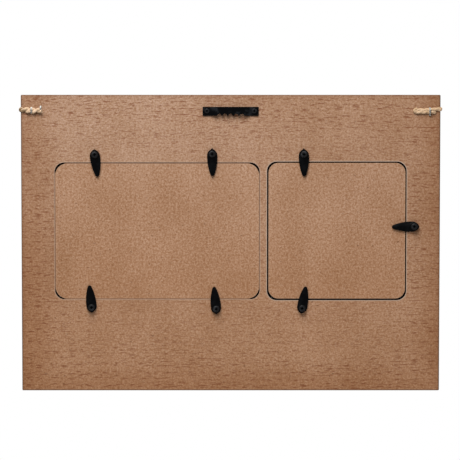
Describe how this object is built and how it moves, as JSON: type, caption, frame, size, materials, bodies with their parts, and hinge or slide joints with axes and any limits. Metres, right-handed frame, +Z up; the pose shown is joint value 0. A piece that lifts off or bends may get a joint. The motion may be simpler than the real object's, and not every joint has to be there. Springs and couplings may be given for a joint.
{
  "type": "collage photo frame",
  "caption": "Wall-hung collage photo frame with a landscape and a square window, lift-out rear doors held by leaf-shaped turn buttons, a sawtooth hanger and jute twine across the front.",
  "frame": {"origin": "where a wall hook bears: the middle notch of the sawtooth hanger, on the plane of the rear face", "axes": "+Z up, front facing -Y, rear and wall side facing +Y, +X to the right seen from the front"},
  "size_m": [0.3312, 0.0187, 0.2301],
  "materials": {
    "front_finish": "matt whitewash",
    "raw_board": "raw fibreboard",
    "door_board": "raw fibreboard",
    "pane": "clear",
    "print": "satin print",
    "button_plastic": "satin",
    "black_fixing": "black oxide",
    "hanger_steel": "black",
    "jute": "hairy twine",
    "staple_wire": "galvanised"
  },
  "bodies": {
    "frame": {"front_panel": "front_finish", "rear_panel": "raw_board", "landscape_door": "door_board", "square_door": "door_board", "landscape_glazing": "pane", "square_glazing": "pane", "landscape_photo": "print", "square_photo": "print", "sawtooth_hanger": "hanger_steel", "hanger_nails": "black_fixing", "button_screws": "black_fixing", "front_twine": "jute", "twine_staples": "staple_wire"},
    "turn_button_landscape_top_outer": {"turn_button_landscape_top_outer": "button_plastic"},
    "turn_button_landscape_top_inner": {"turn_button_landscape_top_inner": "button_plastic"},
    "turn_button_landscape_bottom_outer": {"turn_button_landscape_bottom_outer": "button_plastic"},
    "turn_button_landscape_bottom_inner": {"turn_button_landscape_bottom_inner": "button_plastic"},
    "turn_button_square_top": {"turn_button_square_top": "button_plastic"},
    "turn_button_square_bottom": {"turn_button_square_bottom": "button_plastic"},
    "turn_button_square_side": {"turn_button_square_side": "button_plastic"}
  },
  "joints": [
    {"name": "landscape_top_outer_turn", "type": "hinge", "parent": "frame", "child": "turn_button_landscape_top_outer", "pos_m": [0.1053, 0, -0.03165], "axis": [0, 1, 0], "continuous": true},
    {"name": "landscape_top_inner_turn", "type": "hinge", "parent": "frame", "child": "turn_button_landscape_top_inner", "pos_m": [0.0143, 0, -0.03115], "axis": [0, 1, 0], "continuous": true},
    {"name": "landscape_bottom_outer_turn", "type": "hinge", "parent": "frame", "child": "turn_button_landscape_bottom_outer", "pos_m": [0.1081, 0, -0.15025], "axis": [0, 1, 0], "continuous": true},
    {"name": "landscape_bottom_inner_turn", "type": "hinge", "parent": "frame", "child": "turn_button_landscape_bottom_inner", "pos_m": [0.0113, 0, -0.15145], "axis": [0, 1, 0], "continuous": true},
    {"name": "square_top_turn", "type": "hinge", "parent": "frame", "child": "turn_button_square_top", "pos_m": [-0.05675, 0, -0.03135], "axis": [0, 1, 0], "continuous": true},
    {"name": "square_bottom_turn", "type": "hinge", "parent": "frame", "child": "turn_button_square_bottom", "pos_m": [-0.0555, 0, -0.151], "axis": [0, 1, 0], "continuous": true},
    {"name": "square_side_turn", "type": "hinge", "parent": "frame", "child": "turn_button_square_side", "pos_m": [-0.1423, 0, -0.0874], "axis": [0, 1, 0], "continuous": true}
  ]
}
